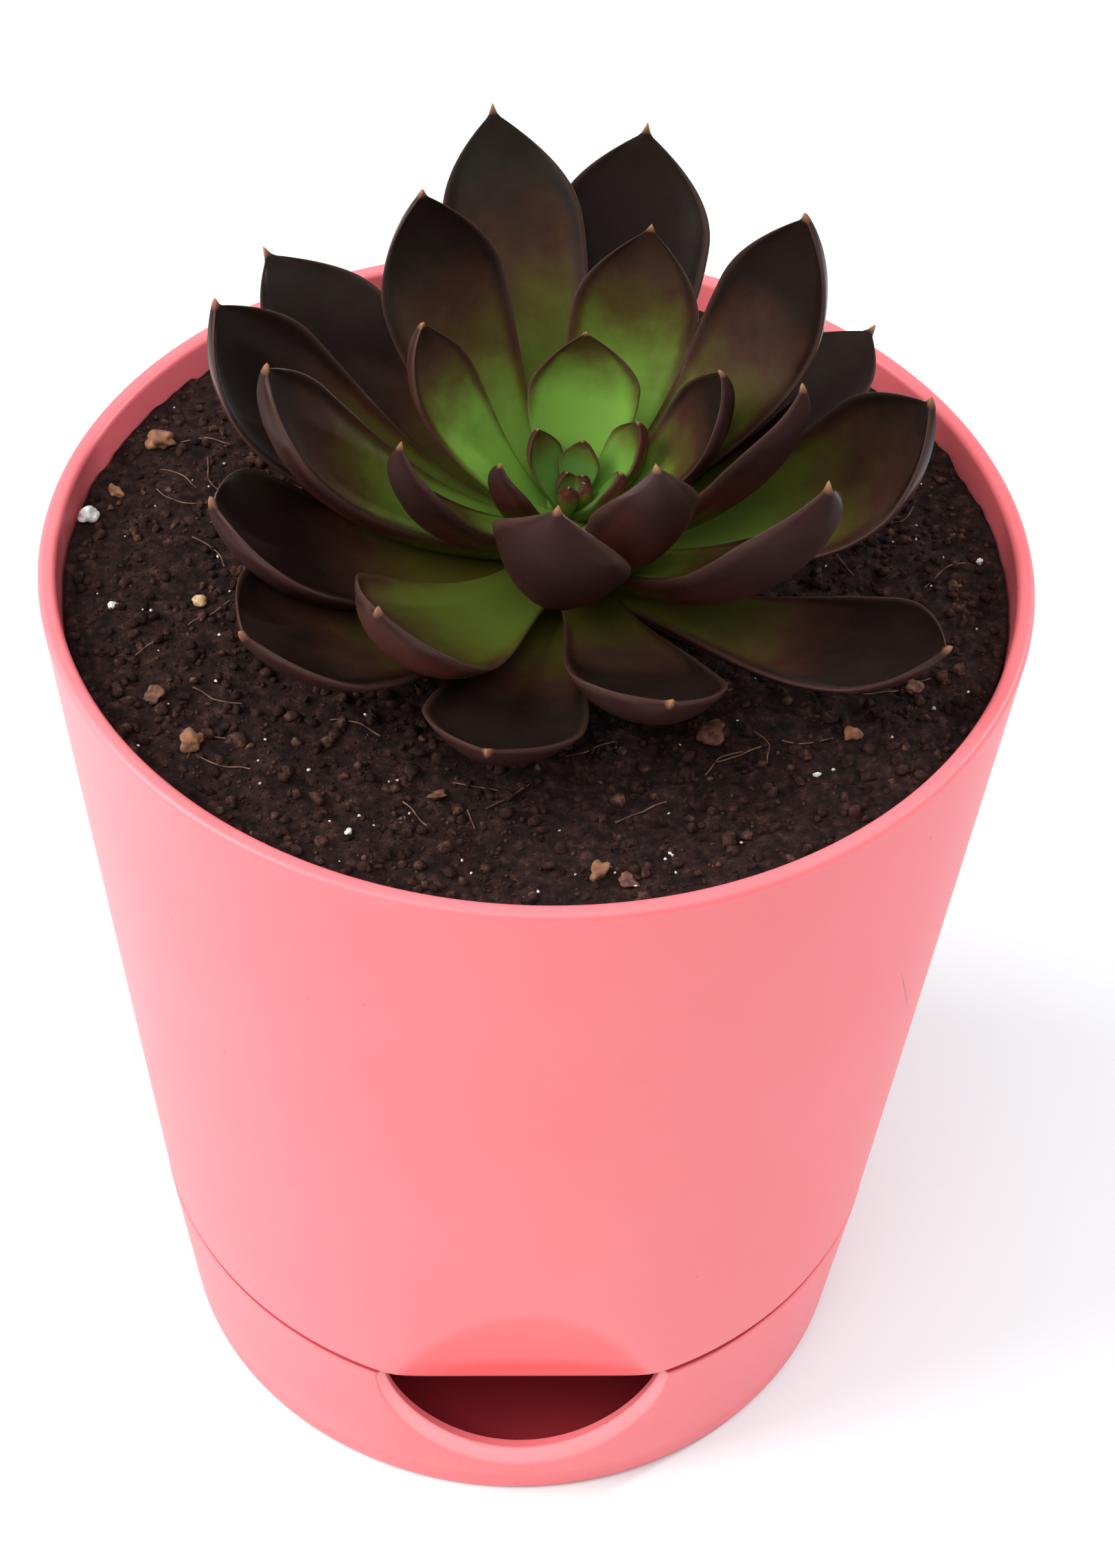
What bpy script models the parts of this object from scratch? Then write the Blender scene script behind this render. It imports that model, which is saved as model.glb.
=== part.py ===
# Potted echeveria: a rosette of fleshy leaves in potting soil, in a two-piece self-watering pot.
# The upper pot stands on the lower cup, whose half-round mouth at the front (-Y) takes the water.
# Sizes are in millimetres and are turned to metres as each mesh is finished.
# The origin is at the centre of the pot's base, on the surface that it stands on, +Z up.

import math

import bmesh
import bpy
from mathutils import Matrix, Vector, noise

MM = 0.001
GAP = 0.3                      # clearance between pieces that touch
PAST = 2.0                     # how far a cutter reaches past the face that it goes through

# Upper pot
RIM_R = 60.0                   # outer radius at the rim
RIM_Z = 134.0                  # height of the rim
SEAM_R = 50.9                  # outer radius where the upper pot ends
SEAM_Z = 27.8                  # height of that lower edge
SHADOW_GAP = 0.9               # gap that shows as a dark line between the two pieces
WALL = 2.2                     # wall thickness of both pieces
RIM_ROUND = 0.8                # rounding of the rim's two edges
LOW_ROUND = 0.7                # rounding of the upper pot's lower edge
CUP_RIM_ROUND = 0.3            # rounding of the cup's rim
FLOOR_TOP_Z = 30.2             # inside floor of the upper pot; its underside is at the seam
COLLAR_LOW_Z = 20.5            # the collar reaches down into the cup
COLLAR_WALL = 2.0
COLLAR_GAP_HALF = 19.7         # half the width of its gap behind the water mouth
COLLAR_GAP_Y = -38.0
FOOT_LOW_R = 11.0              # hollow foot that carries soil down into the water
FOOT_TOP_R = 14.0
FOOT_WALL = 2.0
FOOT_SLOTS = 6
FOOT_SLOT_W = 3.0
FOOT_SLOT_LOW_Z = 6.5
FOOT_SLOT_TOP_Z = 20.0
DRAIN_HOLES = 8
DRAIN_HOLE_R = 2.0
DRAIN_CIRCLE_R = 30.0

# Lower cup, the water reservoir
CUP_LOW_R = 48.05
CUP_TOP_R = 50.8
CUP_TOP_Z = SEAM_Z - SHADOW_GAP
CUP_FLOOR_Z = 2.4
CUP_EDGE_ROUND = 1.4           # rounding round the base
CUP_CORNER = 2.0               # slanted corner between its floor and its wall
RECESS_R = 41.0                # shallow recess under the base
RECESS_DEPTH = 0.8

# Water mouth: a half-moon through the cup's front wall, below a flat on the upper pot
MOUTH_R = 18.8                 # radius of the half-moon
MOUTH_Z = 29.3                 # height of its centre
LIP_WIDTH = 3.6                # width of the sloping lip round it at the bottom
LIP_END_WIDTH = 1.3            # and at its two ends
LIP_DEPTH = 0.9                # how far the lip's inner edge lies behind the cup's surface
LIP_END_DEPTH = 1.3
LIP_ENDS = math.radians(80)    # where the lip is at its narrowest, from the bottom
CUTTER_IN = 12.0               # the cutter's reach behind the cup's surface, and in front of it
CUTTER_OUT = 4.0
FLAT_LOW_Y = -47.6             # the flat's lower edge
FLAT_TOP_Y = -52.9             # the top of the arc where it runs out
FLAT_TOP_Z = 51.0

# Soil
SOIL_Z = 129.9                 # mean height of its surface
SOIL_RELIEF = 0.7              # lumps stand this far above and below it
SOIL_LUMP = 7.0                # width of a lump
SOIL_RINGS = 12

# Plant: the stem stands a little behind the right of the pot's axis
STEM_X = 3.5
STEM_Y = -3.5
STEM_R = 5.0
STEM_LOW_Z = 118.0
CROWN_R = 7.0                  # the stem swells above the soil, where the leaves leave it
CROWN_LOW_Z = 131.0
CROWN_TOP_Z = 142.6            # growing point
LEAF_LOW_Z = 133.3             # where the oldest leaves leave the crown
LEAF_RISE = 9.5                # how much higher the youngest ones do
LEAF_SIDES = 8
LEAF_RINGS = 11

# Leaves from the oldest to the youngest. Azimuth runs clockwise from +Y, seen from above.
# azimuth, rise at the base, rise at the tip, roll (degrees), length, width (mm)
LEAVES = [
    (-166, 4, 30, -1, 39.5, 18.5),
    (123, 3, 33, -5, 47.5, 16.5),
    (0, 5, 22, 0, 40.0, 18.0),
    (-126, 6, 35, 3, 45.0, 23.5),
    (52, 10, 23, 9, 46.5, 17.5),
    (-30, 7, 24, 0, 40.0, 18.0),
    (-106, 6, 55, -1, 45.5, 22.0),
    (166, 6, 41, 12, 39.0, 18.0),
    (-48, 14, 36, -5, 51.0, 19.0),
    (33, 12, 30, 0, 34.0, 16.0),
    (12, 24, 50, -10, 53.5, 19.5),
    (-143, 4, 62, 11, 41.0, 18.5),
    (-73, 6, 73, 7, 52.5, 19.5),
    (90, 3, 73, -11, 48.5, 20.0),
    (-13, 33, 51, -8, 53.0, 18.0),
    (134, 20, 75, 9, 48.5, 15.5),
    (-90, 11, 78, 1, 45.5, 17.0),
    (-41, 33, 87, 9, 46.0, 16.5),
    (66, 33, 90, -14, 50.0, 16.5),
    (19, 30, 64, -20, 38.0, 15.5),
    (95, 24, 76, 24, 36.0, 12.5),
    (-69, 37, 83, 11, 32.5, 11.0),
    (188, 13, 98, 13, 32.5, 16.5),
    (-116, 16, 86, -10, 32.0, 9.5),
    (86, 34, 86, -6, 29.0, 12.0),
    (152, 21, 99, 11, 30.5, 13.0),
    (6, 51, 73, -14, 22.5, 13.5),
    (-120, 31, 86, -6, 16.5, 7.0),
    (70, 41, 83, 4, 15.0, 7.5),
    (-47, 50, 81, 7, 11.5, 5.0),
    (116, 41, 77, -3, 10.5, 5.0),
    (23, 62, 86, -4, 9.0, 5.0),
]
BUD_LEAVES = 4                 # tiny leaves at the growing point, set by the golden angle
GOLDEN_ANGLE = 137.5
BUD_LENGTH = 5.0
BUD_WIDTH = 3.0
BUD_RISE = 78

STEPS = 56                     # sides of the round pieces
CUT_STEPS = 48                 # sides of the mouth's cutter
SMOOTH_ANGLE = math.radians(32)


def remove_everything():
    """Start from an empty scene."""
    for thing in list(bpy.data.objects):
        bpy.data.objects.remove(thing, do_unlink=True)


def srgb(code):
    """Linear colour of an sRGB hex code."""
    parts = [int(code[i:i + 2], 16) / 255 for i in (0, 2, 4)]
    return [p / 12.92 if p <= 0.04045 else ((p + 0.055) / 1.055) ** 2.4 for p in parts] + [1.0]


def material(name, code, roughness):
    """A plain Principled material with no metal in it."""
    mat = bpy.data.materials.new(name)
    mat.use_nodes = True
    shader = mat.node_tree.nodes["Principled BSDF"]
    shader.inputs["Base Color"].default_value = srgb(code)
    shader.inputs["Roughness"].default_value = roughness
    shader.inputs["Metallic"].default_value = 0.0
    mat.diffuse_color = srgb(code)
    return mat


def make_object(name, bm, mat=None):
    """Turn a bmesh in millimetres into an object in metres."""
    bmesh.ops.recalc_face_normals(bm, faces=bm.faces)
    bm.transform(Matrix.Scale(MM, 4))
    mesh = bpy.data.meshes.new(name)
    bm.to_mesh(mesh)
    bm.free()
    mesh.shade_smooth()
    mesh.set_sharp_from_angle(angle=SMOOTH_ANGLE)
    thing = bpy.data.objects.new(name, mesh)
    bpy.context.scene.collection.objects.link(thing)
    if mat:
        mesh.materials.append(mat)
    return thing


def cut(body, name, bm):
    """Subtract a closed bmesh from an object, and keep the cutter as a hidden guide."""
    cutter = make_object(name, bm)
    cutter.hide_render = True
    cutter.display_type = "WIRE"
    modifier = body.modifiers.new(name, "BOOLEAN")
    modifier.operation = "DIFFERENCE"
    modifier.solver = "EXACT"
    modifier.object = cutter


def turned(profile, steps=STEPS):
    """A solid of revolution: its (radius, height) points run from the axis round to the axis."""
    bm = bmesh.new()
    verts = [bm.verts.new((radius, 0, height)) for radius, height in profile]
    edges = [bm.edges.new(pair) for pair in zip(verts, verts[1:])]
    bmesh.ops.spin(bm, geom=verts + edges, cent=(0, 0, 0), axis=(0, 0, 1),
                   angle=math.tau, steps=steps, use_merge=True)
    bmesh.ops.remove_doubles(bm, verts=bm.verts, dist=0.001)
    return bm


def corner(centre_r, centre_z, radius, start, stop, pieces=2):
    """Points of a rounded corner of a profile, between two angles in degrees."""
    angles = [math.radians(start + (stop - start) * i / pieces) for i in range(pieces + 1)]
    return [(centre_r + radius * math.cos(a), centre_z + radius * math.sin(a)) for a in angles]


def box(low, high):
    """A closed box between two corners."""
    bm = bmesh.new()
    size = [b - a for a, b in zip(low, high)]
    middle = [(a + b) / 2 for a, b in zip(low, high)]
    bmesh.ops.create_cube(bm, size=1, matrix=Matrix.Translation(middle) @ Matrix.Diagonal((*size, 1)))
    return bm


def wall_r(z):
    """Outer radius of the upper pot's wall."""
    return SEAM_R + (RIM_R - SEAM_R) * (z - SEAM_Z) / (RIM_Z - SEAM_Z)


def cup_r(z):
    """Outer radius of the cup's wall."""
    return CUP_LOW_R + (CUP_TOP_R - CUP_LOW_R) * z / CUP_TOP_Z


def flatten_front(bm, inset):
    """Cut the front of a body along the plane of the flat, moved inwards by the inset."""
    slope = Vector((0, FLAT_TOP_Y - FLAT_LOW_Y, FLAT_TOP_Z - SEAM_Z)).normalized()
    outward = Vector((0, -slope.z, slope.y))
    point = Vector((0, FLAT_LOW_Y, SEAM_Z)) - outward * inset
    bmesh.ops.bisect_plane(bm, geom=bm.verts[:] + bm.edges[:] + bm.faces[:],
                           plane_co=point, plane_no=outward, clear_outer=True)
    rim = [edge for edge in bm.edges if edge.is_boundary]
    bmesh.ops.holes_fill(bm, edges=rim, sides=len(rim))


def upper_pot(mat):
    """The tapered pot with its floor, its collar and its hollow foot."""
    foot_low_z = CUP_FLOOR_Z + GAP
    collar_r = cup_r(SEAM_Z) - WALL - GAP
    collar_low_r = cup_r(COLLAR_LOW_Z) - WALL - GAP
    outside = [(0, foot_low_z), (FOOT_LOW_R, foot_low_z), (FOOT_TOP_R, SEAM_Z),
               (collar_r - COLLAR_WALL, SEAM_Z), (collar_low_r - COLLAR_WALL, COLLAR_LOW_Z),
               (collar_low_r, COLLAR_LOW_Z), (collar_r, SEAM_Z)]
    outside += corner(SEAM_R - LOW_ROUND, SEAM_Z + LOW_ROUND, LOW_ROUND, -90, -5, 3)
    outside += corner(RIM_R - RIM_ROUND, RIM_Z - RIM_ROUND, RIM_ROUND, -5, 90, 3)
    outside += [(0, RIM_Z)]
    bm = turned(outside)
    flatten_front(bm, 0)
    pot = make_object("inner_pot", bm, mat)

    rim_in = RIM_R - WALL
    inside = [(0, foot_low_z + FOOT_WALL), (FOOT_LOW_R - FOOT_WALL, foot_low_z + FOOT_WALL),
              (FOOT_TOP_R - FOOT_WALL, FLOOR_TOP_Z), (wall_r(FLOOR_TOP_Z) - WALL, FLOOR_TOP_Z),
              (wall_r(RIM_Z - RIM_ROUND) - WALL, RIM_Z - RIM_ROUND),
              (rim_in + RIM_ROUND * 0.3, RIM_Z - RIM_ROUND * 0.3),
              (rim_in + RIM_ROUND, RIM_Z + 0.02), (rim_in + RIM_ROUND, RIM_Z + PAST), (0, RIM_Z + PAST)]
    bm = turned(inside)
    flatten_front(bm, WALL)
    cut(pot, "pot_inside", bm)

    bm = bmesh.new()
    for i in range(DRAIN_HOLES):
        turn = math.tau * (i + 0.5) / DRAIN_HOLES
        place = Matrix.Translation((DRAIN_CIRCLE_R * math.cos(turn), DRAIN_CIRCLE_R * math.sin(turn),
                                    (FLOOR_TOP_Z + SEAM_Z) / 2))
        bmesh.ops.create_cone(bm, cap_ends=True, segments=12, radius1=DRAIN_HOLE_R,
                              radius2=DRAIN_HOLE_R, depth=FLOOR_TOP_Z - SEAM_Z + 2 * PAST, matrix=place)
    cut(pot, "drain_holes", bm)

    for i in range(FOOT_SLOTS // 2):
        bm = box((-FOOT_TOP_R - PAST, -FOOT_SLOT_W / 2, FOOT_SLOT_LOW_Z),
                 (FOOT_TOP_R + PAST, FOOT_SLOT_W / 2, FOOT_SLOT_TOP_Z))
        bm.transform(Matrix.Rotation(math.tau * i / FOOT_SLOTS, 4, "Z"))
        cut(pot, f"foot_slots_{i + 1}", bm)

    cut(pot, "collar_gap", box((-COLLAR_GAP_HALF, -CUP_TOP_R, COLLAR_LOW_Z - PAST),
                               (COLLAR_GAP_HALF, COLLAR_GAP_Y, SEAM_Z)))
    return pot


def mouth_cutter():
    """The half-moon mouth with its sloping lip: rings that lie on the cup's curve, bridged."""
    # share of the lip's depth, and share of its width, from the inside to the outside
    rings = [(None, 0.0), (1.0, 0.0), (0.0, 1.0), (None, 1.0)]
    bm = bmesh.new()
    loops = []
    for i, (depth_share, width_share) in enumerate(rings):
        circle = bmesh.ops.create_circle(bm, segments=CUT_STEPS, radius=MOUTH_R, cap_ends=False)["verts"]
        for vert in circle:
            angle = math.atan2(vert.co.x, -vert.co.y)
            swell = math.cos(min(abs(angle) / LIP_ENDS, 1) * math.pi / 2)
            width = LIP_END_WIDTH + (LIP_WIDTH - LIP_END_WIDTH) * swell
            depth = LIP_END_DEPTH + (LIP_DEPTH - LIP_END_DEPTH) * swell
            radius = MOUTH_R + width * width_share
            x, z = radius * math.sin(angle), MOUTH_Z - radius * math.cos(angle)
            if depth_share is None:
                behind = CUTTER_IN if i == 0 else -CUTTER_OUT
            else:
                behind = depth * depth_share
            vert.co = (x, -math.sqrt((cup_r(z) - behind) ** 2 - x ** 2), z)
        loops.append(list({edge for vert in circle for edge in vert.link_edges}))
    for first, second in zip(loops, loops[1:]):
        bmesh.ops.bridge_loops(bm, edges=first + second)
    bmesh.ops.holes_fill(bm, edges=[e for e in bm.edges if e.is_boundary], sides=CUT_STEPS)
    return bm


def reservoir(mat):
    """The lower cup that holds the water, with its mouth at the front."""
    outside = [(0, RECESS_DEPTH), (RECESS_R, RECESS_DEPTH), (RECESS_R + RECESS_DEPTH, 0)]
    outside += corner(CUP_LOW_R - CUP_EDGE_ROUND, CUP_EDGE_ROUND, CUP_EDGE_ROUND, -90, 0, 3)
    rim_z = CUP_TOP_Z - CUP_RIM_ROUND
    outside += corner(CUP_TOP_R - CUP_RIM_ROUND, rim_z, CUP_RIM_ROUND, 0, 90)
    outside += corner(CUP_TOP_R - WALL + CUP_RIM_ROUND, rim_z, CUP_RIM_ROUND, 90, 180)
    outside += [(cup_r(CUP_FLOOR_Z + CUP_CORNER) - WALL, CUP_FLOOR_Z + CUP_CORNER),
                (cup_r(CUP_FLOOR_Z) - WALL - CUP_CORNER, CUP_FLOOR_Z), (0, CUP_FLOOR_Z)]
    cup = make_object("reservoir", turned(outside), mat)
    cut(cup, "mouth", mouth_cutter())
    return cup


def soil_height(x, y):
    """Lumpy surface of the potting soil, calmest at the wall."""
    coarse = noise.noise(Vector((x, y, 0)) / SOIL_LUMP)
    fine = noise.noise(Vector((x, y, 40)) / (SOIL_LUMP * 0.45))
    return SOIL_Z + SOIL_RELIEF * max(-1.0, min(1.0, 1.2 * coarse + 0.7 * fine))


def soil(mat):
    """Potting soil: it fills the pot and the foot, and the stem stands in a plain hole."""
    foot_low_z = CUP_FLOOR_Z + GAP + FOOT_WALL + GAP
    floor_z = FLOOR_TOP_Z + GAP
    edge_r = wall_r(SOIL_Z) - WALL - GAP
    profile = [(0, foot_low_z), (FOOT_LOW_R - FOOT_WALL - GAP, foot_low_z),
               (FOOT_TOP_R - FOOT_WALL - GAP, floor_z), (wall_r(floor_z) - WALL - GAP, floor_z),
               (edge_r, SOIL_Z)]
    profile += [(edge_r * (1 - i / SOIL_RINGS), SOIL_Z) for i in range(1, SOIL_RINGS + 1)]
    bm = turned(profile)
    flatten_front(bm, WALL + GAP)
    for vert in bm.verts:
        if vert.co.z > SOIL_Z - 0.1:
            vert.co.z = soil_height(vert.co.x, vert.co.y)
    filling = make_object("soil", bm, mat)
    bm = bmesh.new()
    depth = RIM_Z - STEM_LOW_Z
    place = Matrix.Translation((STEM_X, STEM_Y, STEM_LOW_Z - GAP + depth / 2))
    bmesh.ops.create_cone(bm, cap_ends=True, segments=16, radius1=STEM_R + GAP,
                          radius2=STEM_R + GAP, depth=depth, matrix=place)
    cut(filling, "stem_hole", bm)
    return filling


def half_width(s, age, width):
    """Half the width of a leaf at a share s of its length: narrow base, broad shoulder, point."""
    peak = 0.76 - 0.08 * age
    foot = 0.34 + 0.10 * age
    widening = math.sin(math.pi / 2 * min(s / peak, 1)) ** (2.3 - 0.4 * age)
    past = max(0.0, (s - peak) / (1 - peak))
    return width / 2 * (foot + (1 - foot) * widening) * (1 - past ** (2.4 - 0.4 * age))


def leaf_thickness(s, width):
    """Half the thickness of the rounded margin, and the depth of the keel below it."""
    edge = (0.55 + 0.5 * min(width / 20, 1)) * math.sqrt(1 - s ** 6)
    swell = 0.35 + 0.65 * math.sin(math.pi / 2 * min(s / 0.4, 1))
    keel = 3.0 * max(0.25, min(width / 18, 1)) * swell * (1 - s ** 4)
    return edge, keel


def leaf_frames(age, azimuth, low_rise, tip_rise, roll, length, count=41):
    """Points and axes along a leaf's midrib, which leaves the stem low and curves upwards."""
    turn = math.radians(azimuth)
    ahead = Vector((math.sin(turn), math.cos(turn), 0))
    side = Vector((math.cos(turn), -math.sin(turn), 0))
    start = Vector((STEM_X, STEM_Y, LEAF_LOW_Z + LEAF_RISE * age ** 1.3))
    point = start + ahead * (STEM_R * (1 - age) + 0.5)
    frames = []
    step = length / (count - 1)
    before = None
    for i in range(count):
        s = i / (count - 1)
        rise = math.radians(low_rise + (tip_rise - low_rise) * s ** 1.4)
        along = ahead * math.cos(rise) + Vector((0, 0, math.sin(rise)))
        if before:
            point = point + (along + before) * (step / 2)
        before = along
        twist = math.radians(roll) * min(1.6 * s, 1)
        up = side.cross(along)
        across = side * math.cos(twist) + up * math.sin(twist)
        frames.append((point.copy(), across, across.cross(along)))
    return frames


def leaf(age, azimuth, low_rise, tip_rise, roll, length, width):
    """One fleshy leaf: a sphere's rings laid along the midrib, hollow above and keeled below."""
    frames = leaf_frames(age, azimuth, low_rise, tip_rise, roll, length)
    cup = 0.20 + 0.16 * age
    bm = bmesh.new()
    bmesh.ops.create_uvsphere(bm, u_segments=LEAF_SIDES, v_segments=LEAF_RINGS, radius=1)
    for vert in bm.verts:
        ring = math.acos(max(-1.0, min(1.0, vert.co.z))) / math.pi
        s = 0.5 * ring + 0.5 * math.sin(math.pi / 2 * ring)
        place = s * (len(frames) - 1)
        low = min(int(place), len(frames) - 2)
        point, across, up = [a.lerp(b, place - low) for a, b in zip(frames[low], frames[low + 1])]
        radius = math.hypot(vert.co.x, vert.co.y)
        if radius < 1e-4:
            vert.co = point
            continue
        cosine, sine = vert.co.x / radius, vert.co.y / radius
        u = math.copysign(abs(cosine) ** 0.8, cosine)
        half = half_width(s, age, width)
        edge, keel = leaf_thickness(s, width)
        height = cup * half * u * u + edge * sine
        if sine < 0:
            height -= keel * (1 - abs(u) ** 1.6)
        vert.co = point + across * (u * half) + up * height
    return bm


def rosette(mat):
    """The whole plant: leaves round a short stem, joined into one body."""
    bm = turned([(0, STEM_LOW_Z), (STEM_R - 0.6, STEM_LOW_Z), (STEM_R, STEM_LOW_Z + 2),
                 (STEM_R, CROWN_LOW_Z), (CROWN_R, CROWN_LOW_Z + 1.5), (CROWN_R, CROWN_LOW_Z + 4),
                 (CROWN_R * 0.6, CROWN_LOW_Z + 7), (1.6, CROWN_TOP_Z - 1), (0, CROWN_TOP_Z)], steps=16)
    bm.transform(Matrix.Translation((STEM_X, STEM_Y, 0)))
    plant = make_object("rosette", bm, mat)
    group = bpy.data.collections.new("leaves")
    rows = [(i / (len(LEAVES) - 1), *row) for i, row in enumerate(LEAVES)]
    for i in range(BUD_LEAVES):
        rows.append((1.0, GOLDEN_ANGLE * i + 60, BUD_RISE - 8, BUD_RISE + 8, 0, BUD_LENGTH, BUD_WIDTH))
    for i, row in enumerate(rows):
        one = make_object(f"leaf_{i + 1}", leaf(*row), mat)
        bpy.context.scene.collection.objects.unlink(one)
        group.objects.link(one)
    union = plant.modifiers.new("leaves", "BOOLEAN")
    union.operation = "UNION"
    union.operand_type = "COLLECTION"
    union.collection = group
    union.solver = "EXACT"
    depsgraph = bpy.context.evaluated_depsgraph_get()
    joined = bpy.data.meshes.new_from_object(plant.evaluated_get(depsgraph))
    plant.modifiers.clear()
    plant.data = joined
    joined.name = "rosette"
    joined.shade_smooth()
    joined.set_sharp_from_angle(angle=SMOOTH_ANGLE)
    for one in list(group.objects):
        bpy.data.objects.remove(one, do_unlink=True)
    bpy.data.collections.remove(group)
    return plant


def main():
    remove_everything()
    upper_pot(material("pink_pot_plastic", "F28A8C", 0.42))
    reservoir(material("pink_cup_plastic", "F28A8C", 0.42))
    soil(material("potting_soil", "33241F", 0.95))
    rosette(material("echeveria_leaf", "4A4526", 0.38))


main()
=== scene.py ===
# %% [markdown]
# # A potted echeveria
# A rosette of fleshy leaves stands in potting soil, in a pink self-watering pot. The CAD frame
# holds each piece's size and place. This script dresses it: a smooth pot in two pieces with its
# bevelled water mouth, loose crumbly soil, and leaves whose colour runs from green to nearly black.

# %% Load the frame
import math
import random

import bmesh
import bpy
from mathutils import Matrix, Vector, noise


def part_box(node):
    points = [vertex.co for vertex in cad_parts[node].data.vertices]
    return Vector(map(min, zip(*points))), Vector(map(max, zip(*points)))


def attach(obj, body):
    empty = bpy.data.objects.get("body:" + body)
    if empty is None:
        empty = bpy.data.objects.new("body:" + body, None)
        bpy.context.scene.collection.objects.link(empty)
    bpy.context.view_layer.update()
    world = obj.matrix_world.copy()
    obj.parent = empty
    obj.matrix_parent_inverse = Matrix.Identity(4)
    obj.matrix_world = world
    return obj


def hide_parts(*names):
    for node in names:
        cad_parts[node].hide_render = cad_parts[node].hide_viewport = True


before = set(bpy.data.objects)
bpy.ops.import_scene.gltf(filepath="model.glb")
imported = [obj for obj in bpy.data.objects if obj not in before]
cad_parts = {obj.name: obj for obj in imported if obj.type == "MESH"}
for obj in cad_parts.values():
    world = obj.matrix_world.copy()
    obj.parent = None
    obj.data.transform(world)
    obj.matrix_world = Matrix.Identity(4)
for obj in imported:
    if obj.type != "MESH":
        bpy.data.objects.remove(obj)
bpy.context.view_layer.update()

print("CAD nodes:", ", ".join(sorted(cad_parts)))

# %% [markdown]
# Every mesh below is modelled in millimetres, because that is how one thinks of a pot, and is
# turned to metres as it is finished. Colours are given as sRGB hex codes, and one function turns
# them to the linear values that Blender's shaders read.

# %% Units, colours and nodes
MM = 0.001


def linear(code):
    """Linear RGBA of an sRGB hex code."""
    parts = [int(code[i:i + 2], 16) / 255 for i in (0, 2, 4)]
    return [p / 12.92 if p <= 0.04045 else ((p + 0.055) / 1.055) ** 2.4 for p in parts] + [1.0]


def add(tree, kind, inputs=None, **settings):
    """Add a shader node with its settings, and its inputs' values or links."""
    node = tree.nodes.new(kind)
    for name, value in settings.items():
        setattr(node, name, value)
    for name, value in (inputs or {}).items():
        if isinstance(value, bpy.types.NodeSocket):
            tree.links.new(value, node.inputs[name])
        else:
            node.inputs[name].default_value = value
    return node


def new_material(name, roughness, **sockets):
    """A material with its Principled shader, ready for more nodes."""
    mat = bpy.data.materials.new(name)
    mat.use_nodes = True
    shader = mat.node_tree.nodes["Principled BSDF"]
    shader.inputs["Roughness"].default_value = roughness
    for socket, value in sockets.items():
        shader.inputs[socket.replace("_", " ")].default_value = value
    return mat, mat.node_tree, shader


print("units and nodes ready")

# %% [markdown]
# Shaders here are built from a few steps that come back often: a sum, a product of masks, a range
# mapped onto another, noise of a given size, a ramp of colours, a colour laid over another, a soft
# ball, and a relief.

# %% Shader steps
def maths(tree, operation, *values, clamp=False):
    """The result of one sum on shader values."""
    return add(tree, "ShaderNodeMath", dict(enumerate(values)), operation=operation,
               use_clamp=clamp).outputs[0]


def times(tree, value, *masks):
    """A value multiplied by each mask in turn, and held between 0 and 1."""
    for mask in masks:
        value = maths(tree, "MULTIPLY", value, mask, clamp=True)
    return value


def between(tree, value, low, high):
    """A mask that is 1 where a value lies between two lengths in millimetres."""
    return maths(tree, "COMPARE", value, (low + high) / 2 * MM, (high - low) / 2 * MM)


def spread(tree, value, start, stop, low=0, high=1, ease="LINEAR"):
    """One range of a value mapped onto another, and held past both ends."""
    return add(tree, "ShaderNodeMapRange", {"Value": value, "From Min": start, "From Max": stop,
                                            "To Min": low, "To Max": high},
               interpolation_type=ease).outputs[0]


def clouds(tree, place, mm, detail, roughness=0.5):
    """Noise from 0 to 1, in clouds of a given size."""
    return add(tree, "ShaderNodeTexNoise", {"Vector": place, "Scale": 1000 / mm, "Detail": detail,
                                            "Roughness": roughness}).outputs["Fac"]


def ramp(tree, value, stops):
    """A colour for each value, from (value, code) stops."""
    node = add(tree, "ShaderNodeValToRGB", {"Fac": value})
    elements = node.color_ramp.elements
    for i, (position, code) in enumerate(stops):
        element = elements[i] if i < 2 else elements.new(position)
        element.position = position
        element.color = linear(code)
    return node.outputs["Color"]


def lay(tree, mask, under, over):
    """One colour laid over another by a mask."""
    return add(tree, "ShaderNodeMix", {0: mask, 6: under, 7: over}, data_type="RGBA").outputs[2]


def soft_ball(tree, place, centre, reach, turn=(0, 0, 0)):
    """A value that falls from 1 at a centre to 0 at an ellipsoid, both given in millimetres."""
    moved = add(tree, "ShaderNodeMapping",
                {"Vector": place, "Location": [mm * MM for mm in centre], "Rotation": turn,
                 "Scale": [mm * MM for mm in reach]}, vector_type="TEXTURE")
    return add(tree, "ShaderNodeTexGradient", {"Vector": moved.outputs[0]},
               gradient_type="SPHERICAL").outputs["Fac"]


def emboss(tree, shader, height, strength, distance):
    """Give a shader a relief that is bump alone."""
    bump = add(tree, "ShaderNodeBump", {"Height": height, "Strength": strength, "Distance": distance})
    tree.links.new(bump.outputs[0], shader.inputs["Normal"])


print("shader steps ready")

# %% [markdown]
# The photograph was taken from above and in front, looking down at about 46 degrees, with a long
# lens. The camera was found by fitting the ellipses of the rim, the seam and the base. Its
# place is in millimetres from the centre of the pot's base.

# %% Camera
CAMERA_PLACE = Vector((-13.0, -286.2, 387.4))
CAMERA_YAW = math.radians(3.33)      # turned to the right of straight ahead
CAMERA_PITCH = math.radians(45.77)   # looking down
CAMERA_ROLL = math.radians(-2.71)
FOCAL_PIXELS = 4600
PHOTO_HEIGHT = 2283
SENSOR = 36.0

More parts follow.
